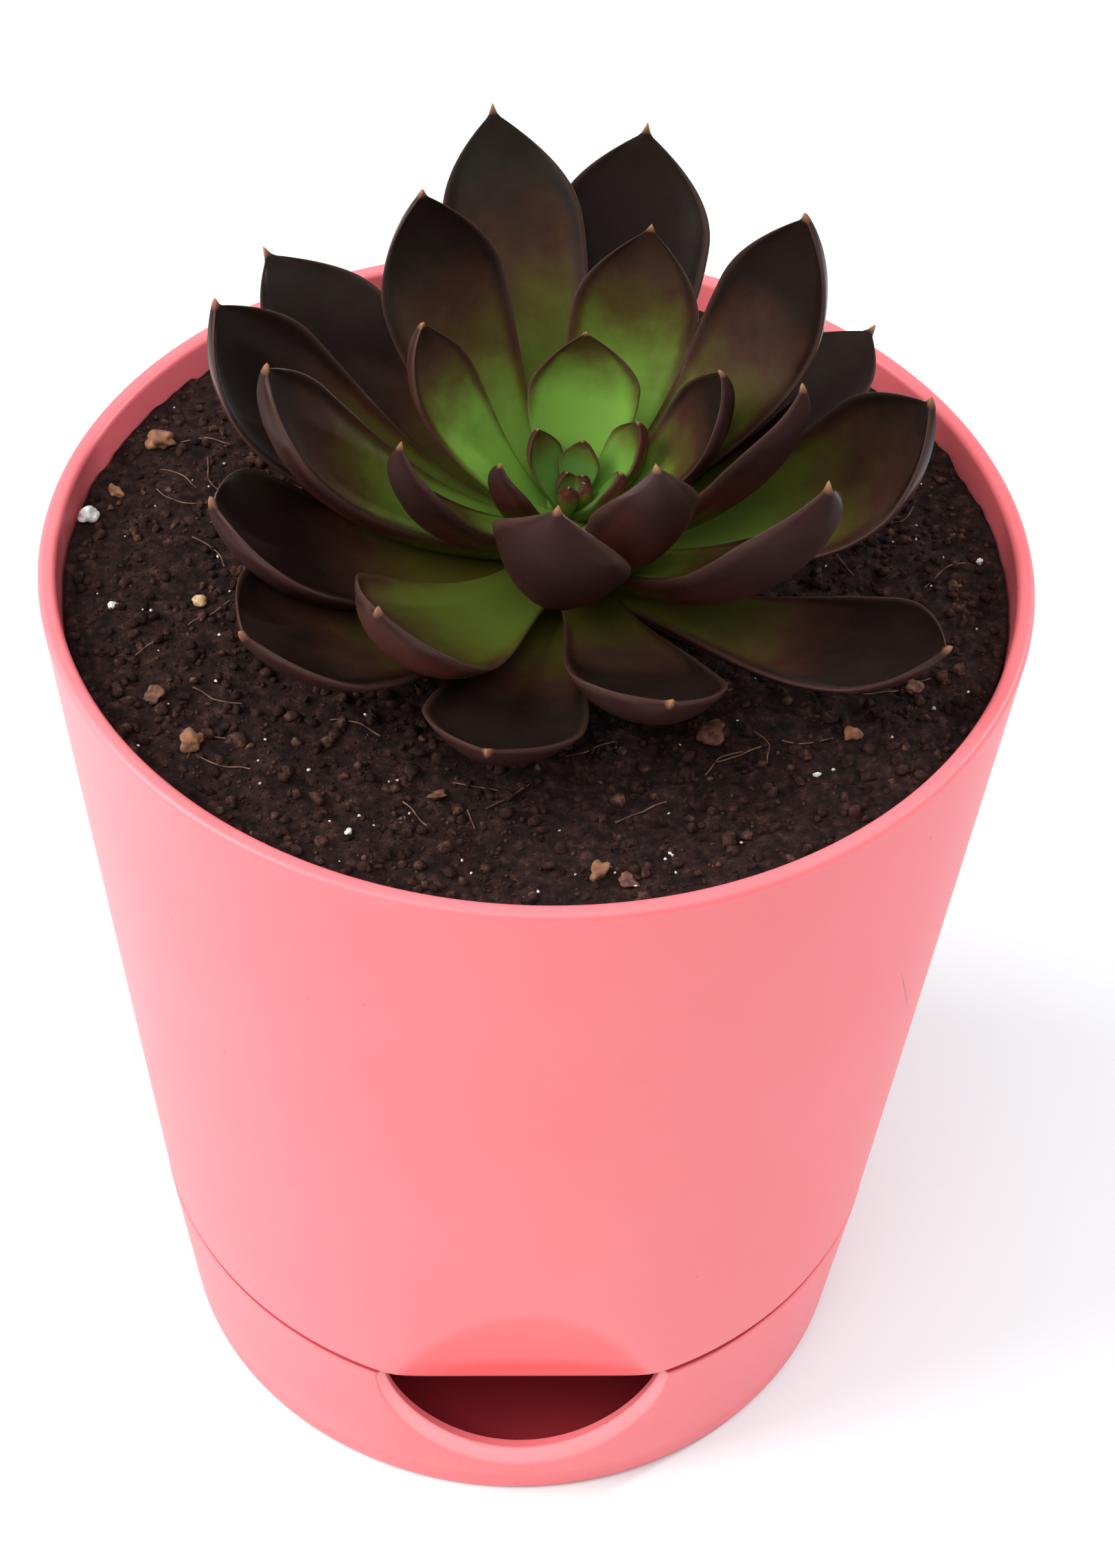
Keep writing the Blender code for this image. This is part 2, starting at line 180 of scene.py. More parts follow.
ahead = Vector((math.sin(CAMERA_YAW) * math.cos(CAMERA_PITCH),
                math.cos(CAMERA_YAW) * math.cos(CAMERA_PITCH), -math.sin(CAMERA_PITCH)))
right = Vector((math.cos(CAMERA_YAW), -math.sin(CAMERA_YAW), 0))
down = ahead.cross(right)
level_right = right * math.cos(CAMERA_ROLL) + down * math.sin(CAMERA_ROLL)
level_down = down * math.cos(CAMERA_ROLL) - right * math.sin(CAMERA_ROLL)
turn = Matrix((level_right, -level_down, -ahead)).transposed()

lens = bpy.data.cameras.new("camera")
lens.sensor_width = SENSOR
lens.lens = FOCAL_PIXELS / PHOTO_HEIGHT * SENSOR
camera = bpy.data.objects.new("camera", lens)
camera.matrix_world = Matrix.Translation(CAMERA_PLACE * MM) @ turn.to_4x4()
bpy.context.scene.collection.objects.link(camera)
bpy.context.scene.camera = camera
print(f"lens {lens.lens:.1f} mm")

# %% [markdown]
# The object stands on a seamless white ground. Its shadow is faint and falls to the right, so most
# of the light comes from a large panel at the left. A weaker one hangs over the front and lights
# the leaves' faces. A narrow cool one at the right is the window that glints on the leaves'
# margins. The world is white, and brighter overhead than at the horizon, as a room is, so that
# what faces down goes a little darker.

# %% Ground and light
def panel(name, place, target, width, height, watts):
    """A soft rectangular light that faces a target."""
    light = bpy.data.lights.new(name, "AREA")
    light.shape = "RECTANGLE"
    light.size = width
    light.size_y = height
    light.energy = watts
    lamp = bpy.data.objects.new(name, light)
    aim = (Vector(target) - Vector(place)).to_track_quat("-Z", "Y")
    lamp.matrix_world = Matrix.Translation(place) @ aim.to_matrix().to_4x4()
    bpy.context.scene.collection.objects.link(lamp)
    return lamp


# each panel's place and target, its width and height in metres, and its watts
panel("key_panel", (-0.95, -0.12, 0.85), (0, 0, 0.09), 0.8, 0.8, 18)
panel("overhead_panel", (-0.1, -0.5, 1.15), (0, 0, 0.08), 0.7, 0.7, 5)
window = panel("window_panel", (0.95, 0.45, 0.75), (0, 0, 0.15), 0.05, 0.35, 7)
window.data.color = (0.86, 0.93, 1.0)

GROUND_HALF = 3
HORIZON_LIGHT = 0.5
ZENITH_LIGHT = 0.85
world = bpy.data.worlds.new("white_room")
world.use_nodes = True
sky = world.node_tree.nodes["Background"]
sky.inputs["Color"].default_value = (1, 1, 1, 1)
direction = add(world.node_tree, "ShaderNodeTexCoord").outputs["Generated"]
height = add(world.node_tree, "ShaderNodeSeparateXYZ", {"Vector": direction}).outputs["Z"]
level = spread(world.node_tree, height, 0, 1, HORIZON_LIGHT, ZENITH_LIGHT)
world.node_tree.links.new(level, sky.inputs["Strength"])
bpy.context.scene.world = world
bpy.context.scene.view_settings.view_transform = "Standard"

bm = bmesh.new()
bmesh.ops.create_grid(bm, x_segments=1, y_segments=1, size=GROUND_HALF)
ground_mesh = bpy.data.meshes.new("ground")
bm.to_mesh(ground_mesh)
bm.free()
ground = bpy.data.objects.new("ground", ground_mesh)
bpy.context.scene.collection.objects.link(ground)
ground_mat, tree, shader = new_material("white_ground", 0.9)
shader.inputs["Base Color"].default_value = linear("E0E7E8")
ground_mesh.materials.append(ground_mat)
print("ground and lights set")

# %% [markdown]
# Finishing a piece is the same each time: scale its mesh, shade it smooth, give it its material,
# ride it on the pot's one body, and hide the CAD node it stands for.

# %% Finished pieces
def to_object(name, bm):
    """Turn a bmesh in millimetres into an object in metres."""
    bm.transform(Matrix.Scale(MM, 4))
    mesh = bpy.data.meshes.new(name)
    bm.to_mesh(mesh)
    bm.free()
    piece = bpy.data.objects.new(name, mesh)
    bpy.context.scene.collection.objects.link(piece)
    return piece


def finish_piece(piece, mat, slot, *nodes, sharp=40):
    """Shade a piece, give it its material, and tie it to the frame."""
    piece.data.shade_smooth()
    if sharp:
        piece.data.set_sharp_from_angle(angle=math.radians(sharp))
    piece.data.materials.clear()
    piece.data.materials.append(mat)
    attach(piece, "root")
    if nodes:
        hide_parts(*nodes)
    print(piece.name, len(piece.data.polygons), "faces")


print("finishing ready")

# %% [markdown]
# The pot's pieces are turned on a lathe, so to speak: a profile is spun round the axis, and other
# solids are then cut out of it. The spin's own seam is merged, and its normals are recalculated,
# because a spin can turn a shape inside out.

# %% Turning and cutting
def cut(body, cutters, operation="DIFFERENCE"):
    """Subtract closed bmeshes from an object, or join them to it, and apply the change."""
    tools = [to_object("cutter", bm) for bm in cutters]
    for tool in tools:
        modifier = body.modifiers.new("cut", "BOOLEAN")
        modifier.operation = operation
        modifier.solver = "EXACT"
        modifier.object = tool
    depsgraph = bpy.context.evaluated_depsgraph_get()
    body.data = bpy.data.meshes.new_from_object(body.evaluated_get(depsgraph))
    body.modifiers.clear()
    for tool in tools:
        bpy.data.objects.remove(tool, do_unlink=True)


def turned(profile, steps):
    """A solid of revolution from (radius, height) points that run from the axis to the axis."""
    bm = bmesh.new()
    verts = [bm.verts.new((radius, 0, height)) for radius, height in profile]
    edges = [bm.edges.new(pair) for pair in zip(verts, verts[1:])]
    bmesh.ops.spin(bm, geom=verts + edges, cent=(0, 0, 0), axis=(0, 0, 1),
                   angle=math.tau, steps=steps, use_merge=True)
    bmesh.ops.remove_doubles(bm, verts=bm.verts, dist=0.001)
    bmesh.ops.recalc_face_normals(bm, faces=bm.faces)
    return bm


def corner(centre_r, centre_z, radius, start, stop, pieces):
    """Points of a rounded corner of a profile, between two angles in degrees."""
    angles = [math.radians(start + (stop - start) * i / pieces) for i in range(pieces + 1)]
    return [(centre_r + radius * math.cos(a), centre_z + radius * math.sin(a)) for a in angles]


def straight(start, end, pieces):
    """Points between two profile points, without the ends."""
    return [tuple(Vector(start).lerp(Vector(end), i / pieces)) for i in range(1, pieces)]


print("turning ready")

# %% [markdown]
# ## The pot
# The pot is moulded polypropylene in two pieces. Its sizes come from the CAD frame's boxes where
# they can, and the wall and roundings are those that such pots have. The upper pot is a turned
# solid whose front is planed flat above the water mouth, then hollowed with a second solid.

# %% Pot sizes
pot_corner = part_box("inner_pot")[1] / MM
cup_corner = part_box("reservoir")[1] / MM
RIM_R = pot_corner.x
RIM_Z = pot_corner.z
CUP_TOP_R = cup_corner.x
GAP = 0.3
PAST = 2.0           # how far a cutter reaches past the face that it goes through
SEAM_Z = 27.8
SHADOW_GAP = 0.9
CUP_TOP_Z = SEAM_Z - SHADOW_GAP
SEAM_R = 50.9
CUP_LOW_R = 48.05
WALL = 2.2
RIM_ROUND = 0.8
LOW_ROUND = 0.7
CUP_RIM_ROUND = 0.3
STEPS = 240
print(f"rim {RIM_R:.1f} at {RIM_Z:.1f} mm, seam at {SEAM_Z:.1f} mm")


def wall_r(z):
    """Outer radius of the upper pot."""
    return SEAM_R + (RIM_R - SEAM_R) * (z - SEAM_Z) / (RIM_Z - SEAM_Z)


def cup_r(z):
    """Outer radius of the cup."""
    return CUP_LOW_R + (CUP_TOP_R - CUP_LOW_R) * z / CUP_TOP_Z


# %% [markdown]
# The flat is one plane that leans back towards the seam. The front of the turned solid is pressed
# onto it, and a softplus curve eases the wall into the plane, so the arch between them is as soft
# as a moulded one.

# %% The flat above the water mouth
FLAT_LOW_Y = -47.6
FLAT_TOP_Y = -52.9
FLAT_TOP_Z = 51.0
FLAT_EASE = 0.22     # mm over which the wall eases into the plane
FLAT_ROWS = 30
FLAT_ROWS_TOP = 56.0


def flatten_front(bm, inset):
    """Press the front of a body onto the plane, without moving what lies behind it."""
    lean = (FLAT_TOP_Y - FLAT_LOW_Y) / (FLAT_TOP_Z - SEAM_Z)
    for vert in bm.verts:
        past = FLAT_LOW_Y + inset + lean * (vert.co.z - SEAM_Z) - vert.co.y
        if past > -6 * FLAT_EASE:
            vert.co.y += FLAT_EASE * math.log(1 + math.exp(past / FLAT_EASE))


print(f"the flat reaches from {SEAM_Z} to {FLAT_TOP_Z} mm")

# %% [markdown]
# Below the seam the upper pot has what the water mouth hides: a collar that nests in the cup,
# a floor with drain holes, and a hollow slotted foot that carries soil down into the water. The
# wall has close rows of points as high as the flat reaches, and its lower edge is rounded.

# %% Upper pot
FLOOR_TOP_Z = 30.2
COLLAR_LOW_Z = 20.5
COLLAR_WALL = 2.0
COLLAR_SUNK = 1.0    # how far its top reaches up into the pot, so that they join
CUP_FLOOR_Z = 2.4
FOOT_LOW_R = 11.0
FOOT_TOP_R = 14.0
FOOT_WALL = 2.0
FOOT_LOW_Z = CUP_FLOOR_Z + GAP

rim_edge = corner(RIM_R - RIM_ROUND, RIM_Z - RIM_ROUND, RIM_ROUND, -5, 90, 6)
outside = [(0, FOOT_LOW_Z), (FOOT_LOW_R, FOOT_LOW_Z), (FOOT_TOP_R, SEAM_Z)]
outside += corner(SEAM_R - LOW_ROUND, SEAM_Z + LOW_ROUND, LOW_ROUND, -90, -5, 6)
outside += straight(outside[-1], (wall_r(FLAT_ROWS_TOP), FLAT_ROWS_TOP), FLAT_ROWS)
outside += [(wall_r(FLAT_ROWS_TOP), FLAT_ROWS_TOP)] + rim_edge + [(0, RIM_Z)]
outer_solid = turned(outside, STEPS)
flatten_front(outer_solid, 0)
upper_pot = to_object("upper_pot", outer_solid)

collar_top_r = cup_r(SEAM_Z) - WALL - GAP
collar_low_r = cup_r(COLLAR_LOW_Z) - WALL - GAP
collar_top_z = SEAM_Z + COLLAR_SUNK
collar_profile = [(collar_low_r - COLLAR_WALL, COLLAR_LOW_Z), (collar_low_r, COLLAR_LOW_Z),
                  (collar_top_r, collar_top_z), (collar_top_r - COLLAR_WALL, collar_top_z)]
collar_profile.append(collar_profile[0])
collar = turned(collar_profile, STEPS)
flatten_front(collar, WALL / 2)
cut(upper_pot, [collar], "UNION")
print("outside of the upper pot:", len(upper_pot.data.polygons), "faces")

# %% [markdown]
# The hollow is a second turned solid, one wall's thickness inside the first, and its front is
# pressed onto a plane of its own. It is cut out together with the drain holes, the foot's slots
# and the gap in the collar behind the water mouth.

# %% The upper pot's hollow, drains and slots
INSIDE_ROWS = 8
DRAIN_HOLES = 8
DRAIN_R = 2.0
DRAIN_CIRCLE_R = 30.0
DRAIN_CUT = 10
DRAIN_SIDES = 24
FOOT_SLOTS = 6
SLOT_CUT = (34, 3.0, 13.5)
SLOT_MIDDLE_Z = 13.25
COLLAR_GAP_HALF = 19.7
COLLAR_GAP_Y = -38.0
COLLAR_GAP_CUT = 20

rim_in = RIM_R - WALL
inner_round = corner(rim_in + RIM_ROUND, RIM_Z - RIM_ROUND, RIM_ROUND, 180, 91, 6)
inside = [(0, FOOT_LOW_Z + FOOT_WALL), (FOOT_LOW_R - FOOT_WALL, FOOT_LOW_Z + FOOT_WALL),
          (FOOT_TOP_R - FOOT_WALL, FLOOR_TOP_Z), (wall_r(FLOOR_TOP_Z) - WALL, FLOOR_TOP_Z)]
inside += straight(inside[-1], inner_round[0], INSIDE_ROWS) + inner_round
inside += [(rim_in + RIM_ROUND, RIM_Z + PAST), (0, RIM_Z + PAST)]
hollow = turned(inside, STEPS)
flatten_front(hollow, WALL)

drains = bmesh.new()
for i in range(DRAIN_HOLES):
    bearing = math.tau * (i + 0.5) / DRAIN_HOLES
    middle = (DRAIN_CIRCLE_R * math.cos(bearing), DRAIN_CIRCLE_R * math.sin(bearing), SEAM_Z)
    bmesh.ops.create_cone(drains, cap_ends=True, segments=DRAIN_SIDES, radius1=DRAIN_R, radius2=DRAIN_R,
                          depth=DRAIN_CUT, matrix=Matrix.Translation(middle))
slots = []
for i in range(FOOT_SLOTS // 2):
    slot_cut = bmesh.new()
    shape = Matrix.Translation((0, 0, SLOT_MIDDLE_Z)) @ Matrix.Diagonal((*SLOT_CUT, 1))
    turned_shape = Matrix.Rotation(math.tau * i / FOOT_SLOTS, 4, "Z") @ shape
    bmesh.ops.create_cube(slot_cut, size=1, matrix=turned_shape)
    slots.append(slot_cut)
collar_gap = bmesh.new()
gap_shape = Matrix.Diagonal((2 * COLLAR_GAP_HALF, COLLAR_GAP_CUT, COLLAR_GAP_CUT, 1))
gap_place = Matrix.Translation((0, COLLAR_GAP_Y - COLLAR_GAP_CUT / 2, SEAM_Z - COLLAR_GAP_CUT / 2))
bmesh.ops.create_cube(collar_gap, size=1, matrix=gap_place @ gap_shape)
cut(upper_pot, [hollow, drains, *slots, collar_gap])
print("the upper pot, hollowed:", len(upper_pot.data.polygons), "faces")

# %% [markdown]
# The cup is one turned profile: a shallow recess under its base, so that it stands on a ring, a
# rounded lower edge, a rim with both edges rounded, and a slanted corner on the inside.

# %% Water cup
RECESS_R = 41.0
RECESS_DEPTH = 0.8
CUP_CORNER = 2.0
CUP_EDGE_ROUND = 1.4

cup_profile = [(0, RECESS_DEPTH), (RECESS_R, RECESS_DEPTH), (RECESS_R + RECESS_DEPTH, 0)]
cup_profile += corner(CUP_LOW_R - CUP_EDGE_ROUND, CUP_EDGE_ROUND, CUP_EDGE_ROUND, -90, 0, 8)
rim_z = CUP_TOP_Z - CUP_RIM_ROUND
cup_profile += corner(CUP_TOP_R - CUP_RIM_ROUND, rim_z, CUP_RIM_ROUND, 0, 90, 4)
cup_profile += corner(CUP_TOP_R - WALL + CUP_RIM_ROUND, rim_z, CUP_RIM_ROUND, 90, 180, 4)
cup_profile += corner(CUP_LOW_R - WALL - CUP_CORNER, CUP_FLOOR_Z + CUP_CORNER, CUP_CORNER, 0, -90, 6)
cup_profile += [(0, CUP_FLOOR_Z)]
water_cup = to_object("water_cup", turned(cup_profile, STEPS))
print("the cup before its mouth:", len(water_cup.data.polygons), "faces")

# %% [markdown]
# The cup's mouth is a half-moon through its front wall. A sloping lip runs round it, widest at the
# bottom and narrow at the ends, and its inner edge is a little round, where light catches it. The
# cutter is a row of rings that lie on the wall's own curve, joined by bridge_loops.

# %% Water mouth
MOUTH_R = 18.8
MOUTH_Z = 29.3
LIP_WIDTH = 3.6
LIP_END_WIDTH = 1.3
LIP_DEPTH = 0.9
LIP_END_DEPTH = 1.3
LIP_ENDS = math.radians(80)
CUTTER_IN = 12.0
CUTTER_OUT = 4.0
MOUTH_POINTS = 160

# share of the lip's depth, and share of its width, from the inside to the outside
LIP_RINGS = [(None, 0.0), (1.4, 0.0), (1.25, 0.015), (1.12, 0.05), (1.0, 0.11), (0.9, 0.19),
             (0.0, 1.0), (None, 1.0)]
mouth = bmesh.new()
loops = []
for i, (depth_share, width_share) in enumerate(LIP_RINGS):
    ring = bmesh.ops.create_circle(mouth, segments=MOUTH_POINTS, radius=MOUTH_R)["verts"]
    for vert in ring:
        angle = math.atan2(vert.co.x, -vert.co.y)
        swell = math.cos(min(abs(angle) / LIP_ENDS, 1) * math.pi / 2)
        width = LIP_END_WIDTH + (LIP_WIDTH - LIP_END_WIDTH) * swell
        depth = LIP_END_DEPTH + (LIP_DEPTH - LIP_END_DEPTH) * swell
        radius = MOUTH_R + width * width_share
        x, z = radius * math.sin(angle), MOUTH_Z - radius * math.cos(angle)
        if depth_share is None:
            behind = CUTTER_IN if i == 0 else -CUTTER_OUT
        else:
            behind = depth * depth_share
        vert.co = (x, -math.sqrt((cup_r(z) - behind) ** 2 - x ** 2), z)
    loops.append(list({edge for vert in ring for edge in vert.link_edges}))
for first, second in zip(loops, loops[1:]):
    bmesh.ops.bridge_loops(mouth, edges=first + second)
bmesh.ops.holes_fill(mouth, edges=[e for e in mouth.edges if e.is_boundary], sides=MOUTH_POINTS)
bmesh.ops.recalc_face_normals(mouth, faces=mouth.faces)
cut(water_cup, [mouth])
print(len(LIP_RINGS), "rings make the mouth's cutter")

# %% [markdown]
# ## The plastic
# Polypropylene has a soft satin skin, and light enters it a little, so its edges glow. It is
# faintly cloudy where it is handled, so noise mixes two pinks. Over that go several marks, each
# with a colour of its own. A mark is a mask from 0 to 1, and the last cell lays them on in turn.
# The first is a few dark specks: a small disc in the middle of one Voronoi cell in five.

# %% Pink polypropylene
PINK = "ED6E74"
PINK_WORN = "EF777E"
SPECK = "8C3A42"
CLOUD_MM = 35.0
SPECK_MM = 3.2
SPECK_R = 0.055      # share of a cell
SPECKED_CELLS = 0.2
SPECK_STRENGTH = 0.6

plastic, tree, shader = new_material("satin_polypropylene", 0.42, IOR=1.49, Subsurface_Weight=0.12,
                                     Subsurface_Scale=0.0015)
shader.inputs["Subsurface Radius"].default_value = (1.0, 0.35, 0.3)
place = add(tree, "ShaderNodeTexCoord").outputs["Object"]
cloud = clouds(tree, place, CLOUD_MM, 3)
colour = ramp(tree, cloud, [(0.35, PINK), (0.75, PINK_WORN)])
cells = add(tree, "ShaderNodeTexVoronoi", {"Vector": place, "Scale": 1000 / SPECK_MM})
dots = maths(tree, "LESS_THAN", cells.outputs["Distance"], SPECK_R)
chosen = maths(tree, "GREATER_THAN", cells.outputs["Color"], 1 - SPECKED_CELLS)
marks = [(times(tree, dots, chosen, SPECK_STRENGTH), SPECK)]
print("clouds and specks ready")

# %% [markdown]
# The flat is redder than the wall, most of all just over the mouth, because it leans down and the
# mouth's shade lies on it. A point of the outside is on the flat where it lies behind the cone of
# the turned wall, so the shader measures that. A sphere of gradient adds the mouth's shade.

# %% The flat's redder shade
PINK_FLAT = "EC3438"
FLAT_SHADE_DEPTH = (0.1, 0.7)       # mm behind the cone where the shade starts, and where it is full
FLAT_SHADE = (0.62, 0.34)           # its strength at the seam and at the top of the flat
MOUTH_SHADE_MM = (20.0, 9.0, 7.0)   # how far the mouth's shade reaches along each axis
FLAT_MARGIN = 0.3                   # how far behind the lower edge a point still counts as outside
ROWS_MARGIN = 0.05                  # and how far below and above the wall's close rows

axes = add(tree, "ShaderNodeSeparateXYZ", {"Vector": place})
height = axes.outputs["Z"]
level = add(tree, "ShaderNodeCombineXYZ", {"X": axes.outputs["X"], "Y": axes.outputs["Y"]})
from_axis = add(tree, "ShaderNodeVectorMath", {0: level.outputs[0]}, operation="LENGTH").outputs["Value"]
cone = spread(tree, height, SEAM_Z * MM, RIM_Z * MM, SEAM_R * MM, RIM_R * MM)
behind = maths(tree, "SUBTRACT", cone, from_axis)
on_flat = spread(tree, behind, FLAT_SHADE_DEPTH[0] * MM, FLAT_SHADE_DEPTH[1] * MM, ease="SMOOTHSTEP")
in_front = maths(tree, "LESS_THAN", axes.outputs["Y"], (FLAT_LOW_Y + FLAT_MARGIN) * MM)
in_rows = between(tree, height, SEAM_Z - ROWS_MARGIN, FLAT_ROWS_TOP + ROWS_MARGIN)
fading = spread(tree, height, SEAM_Z * MM, FLAT_TOP_Z * MM, *FLAT_SHADE)
mouth_shade = soft_ball(tree, place, (0, FLAT_LOW_Y, SEAM_Z), MOUTH_SHADE_MM)
redder = maths(tree, "ADD", mouth_shade, fading)
marks.append((times(tree, redder, on_flat, in_front, in_rows), PINK_FLAT))
print("the flat's shade ready")

# %% [markdown]
# The lip round the mouth is painted paler, as painted light where its slope faces up. It lies just
# behind the cup's own cone, and the inside of the cup lies further behind, so the same measure finds it.

# %% The lip's painted light
PINK_LIP_LIGHT = "FAA6AA"
LIP_TONE_DEPTH = (0.08, 0.35)   # mm behind the cone where the pale tone starts, and where it is full
LIP_TONE_END = 1.4              # mm behind the cone where it ends
LIP_TONE_ROWS = (4.4, 26.5)     # height of its lowest and its highest point
LIP_TONE = 0.55

cup_cone = spread(tree, height, 0, CUP_TOP_Z * MM, CUP_LOW_R * MM, CUP_TOP_R * MM)
sunk = maths(tree, "SUBTRACT", cup_cone, from_axis)
pale = spread(tree, sunk, LIP_TONE_DEPTH[0] * MM, LIP_TONE_DEPTH[1] * MM, 0, LIP_TONE)
shallow = maths(tree, "LESS_THAN", sunk, LIP_TONE_END * MM)
beside_mouth = between(tree, height, *LIP_TONE_ROWS)
# painted light on the lip's upward slope
marks.append((times(tree, pale, shallow, beside_mouth), PINK_LIP_LIGHT))
print("the lip's tone ready")

# %% [markdown]
# Painted shade darkens the seam. Its line is the upper pot's rounded lower edge, and the part
# of the cup's rim that lies under that edge. One mask fades up the edge, the other fades out
# towards the rim's outside, and a point takes the one for its own piece.

# %% The seam's painted shade
PINK_SEAM_SHADE = "C0444E"
SEAM_LINE = 0.85
SEAM_LINE_MM = 0.9
RIM_SHADE_R = (50.35, 50.6)
RIM_SHADE_MM = 0.2
SEAM_SLACK = 0.1     # how far past the seam's height a point still belongs to its own side

on_edge = spread(tree, height, SEAM_Z * MM, (SEAM_Z + SEAM_LINE_MM) * MM, SEAM_LINE, 0, "SMOOTHSTEP")
on_rim = spread(tree, from_axis, RIM_SHADE_R[0] * MM, RIM_SHADE_R[1] * MM, SEAM_LINE, 0)
upper_part = maths(tree, "GREATER_THAN", height, (SEAM_Z - SEAM_SLACK) * MM)
either = add(tree, "ShaderNodeMix", {0: upper_part, 2: on_rim, 3: on_edge}).outputs[0]
above_rim = maths(tree, "GREATER_THAN", height, (CUP_TOP_Z - RIM_SHADE_MM) * MM)
# painted shade in the seam
marks.append((times(tree, either, above_rim), PINK_SEAM_SHADE))
print("the seam's line ready")

# %% [markdown]
# The inside of the cup is painted a deeper red, as painted shade, from the inner face of its wall
# inwards and between the underside and the seam. A thin scratch on the right side of the wall is a
# long flat ellipsoid of gradient that crosses it.

# %% The painted shade inside, and a scratch
PINK_INSIDE_SHADE = "AE343C"
INSIDE_R = (46.6, 45.6)
INSIDE_LOW_Z = 2.0
SCRATCH_FROM = (43.5, -30.0, 92.0)
SCRATCH_MM = (0.16, 6.0, 13.0)
SCRATCH_TURN = (0.0, math.radians(-24), math.radians(35))
SCRATCH_SOFT = 0.25
SCRATCH_STRENGTH = 0.6

inner = spread(tree, from_axis, INSIDE_R[0] * MM, INSIDE_R[1] * MM)
low = maths(tree, "LESS_THAN", height, (SEAM_Z + SEAM_SLACK) * MM)
high = maths(tree, "GREATER_THAN", height, INSIDE_LOW_Z * MM)
# painted shade inside the cup
marks.append((times(tree, inner, low, high), PINK_INSIDE_SHADE))

scratch = soft_ball(tree, place, SCRATCH_FROM, SCRATCH_MM, SCRATCH_TURN)
marks.append((spread(tree, scratch, 0, SCRATCH_SOFT, 0, SCRATCH_STRENGTH), SPECK))
print(len(marks), "marks for the plastic")

# %% [markdown]
# The marks are laid on in turn. The mould's real grain is too fine to show, so it is drawn a third
# of a millimetre wide, as a faint bump, and the clouds vary the gloss a little too. Weighted
# normals then keep the large faces smooth beside their small roundings.

# %% The plastic's skin
MOULD_GRAIN_MM = 0.35
PLASTIC_ROUGH = (0.38, 0.5)

for mask, code in marks:
    colour = lay(tree, mask, colour, linear(code))
tree.links.new(colour, shader.inputs["Base Color"])
tree.links.new(spread(tree, cloud, 0, 1, *PLASTIC_ROUGH), shader.inputs["Roughness"])
emboss(tree, shader, clouds(tree, place, MOULD_GRAIN_MM, 2), 0.12, 0.00005)

finish_piece(upper_pot, plastic, "pot_plastic", "inner_pot", sharp=30)
finish_piece(water_cup, plastic, "cup_plastic", "reservoir", sharp=30)
for piece in (upper_pot, water_cup):
    weighted = piece.modifiers.new("even_shading", "WEIGHTED_NORMAL")
    weighted.keep_sharp = True

# %% [markdown]
# ## The soil
# Potting mix is bark, peat and fibre broken to crumbs, nearly black where it is moist. Its surface
# is modelled at two sizes. A fine turned bed carries the lumps that the CAD soil has, with smaller
# ones on them, and thousands of loose crumbs lie on the bed, half sunk in it.

# %% Soil bed
SOIL_Z = 129.9
SOIL_RELIEF = 0.7
SOIL_LUMP = 7.0
SOIL_STEPS = 300
SOIL_RINGS = 90
BED_CRUMBS = [(0.45, 2.1, 9), (0.3, 1.0, 3)]   # height and width in mm, and a layer of the noise
STEM_PLACE = Vector((3.5, -3.5, 0))
STEM_R = 5.0


def soil_height(x, y):
    """Height of the bed: the CAD soil's lumps, and crumbs of about 1 and 2 mm on them."""
    coarse = noise.noise(Vector((x, y, 0)) / SOIL_LUMP)
    fine = noise.noise(Vector((x, y, 40)) / (SOIL_LUMP * 0.45))
    lumps = SOIL_RELIEF * max(-1.0, min(1.0, 1.2 * coarse + 0.7 * fine))
    crumbs = sum(high * noise.noise(Vector((x, y, layer)) / wide) for high, wide, layer in BED_CRUMBS)
    return SOIL_Z + lumps + crumbs


edge_r = wall_r(SOIL_Z) - WALL - GAP
soil_profile = [(0, FOOT_LOW_Z + FOOT_WALL + GAP),
                (FOOT_LOW_R - FOOT_WALL - GAP, FOOT_LOW_Z + FOOT_WALL + GAP),
                (FOOT_TOP_R - FOOT_WALL - GAP, FLOOR_TOP_Z + GAP),
                (wall_r(FLOOR_TOP_Z) - WALL - GAP, FLOOR_TOP_Z + GAP), (edge_r, SOIL_Z)]
soil_profile += [(edge_r * (1 - i / SOIL_RINGS), SOIL_Z) for i in range(1, SOIL_RINGS + 1)]
bed = turned(soil_profile, SOIL_STEPS)
flatten_front(bed, WALL + GAP)
for vert in bed.verts:
    if vert.co.z > SOIL_Z - 0.1:
        vert.co.z = soil_height(vert.co.x, vert.co.y)
soil_bed = to_object("soil_bed", bed)
print(f"the bed is {2 * edge_r:.1f} mm across")

# %% [markdown]
# Loose crumbs are icospheres of twenty faces, each stretched, turned and dented at random from
# one seed, so that every run gives the same soil. Small ones are far more common than large ones.

# %% Lumps
def lump(bm, place, size, flat, dice, detail=1, rough=0.35):
    """Add one dented lump of a given width at a place."""
    spin = Matrix.Rotation(dice.uniform(0, math.tau), 4, "Z")
    tilt = Matrix.Rotation(dice.uniform(-0.5, 0.5), 4, "X")
    shape = Matrix.Diagonal((size / 2, size / 2 * dice.uniform(0.55, 1), size / 2 * flat, 1))
    turned_shape = spin @ tilt @ shape
    made = bmesh.ops.create_icosphere(bm, subdivisions=detail, radius=1)["verts"]
    offset = Vector((dice.uniform(0, 99), 0, 0))
    for vert in made:
        vert.co *= 1 + rough * noise.noise(vert.co * 1.3 + offset) * 2
        vert.co = Vector(place) + turned_shape @ vert.co


def on_soil(x, y, above=0.0):
    """A point that lies on the bed."""
    return (x, y, soil_height(x, y) + above)


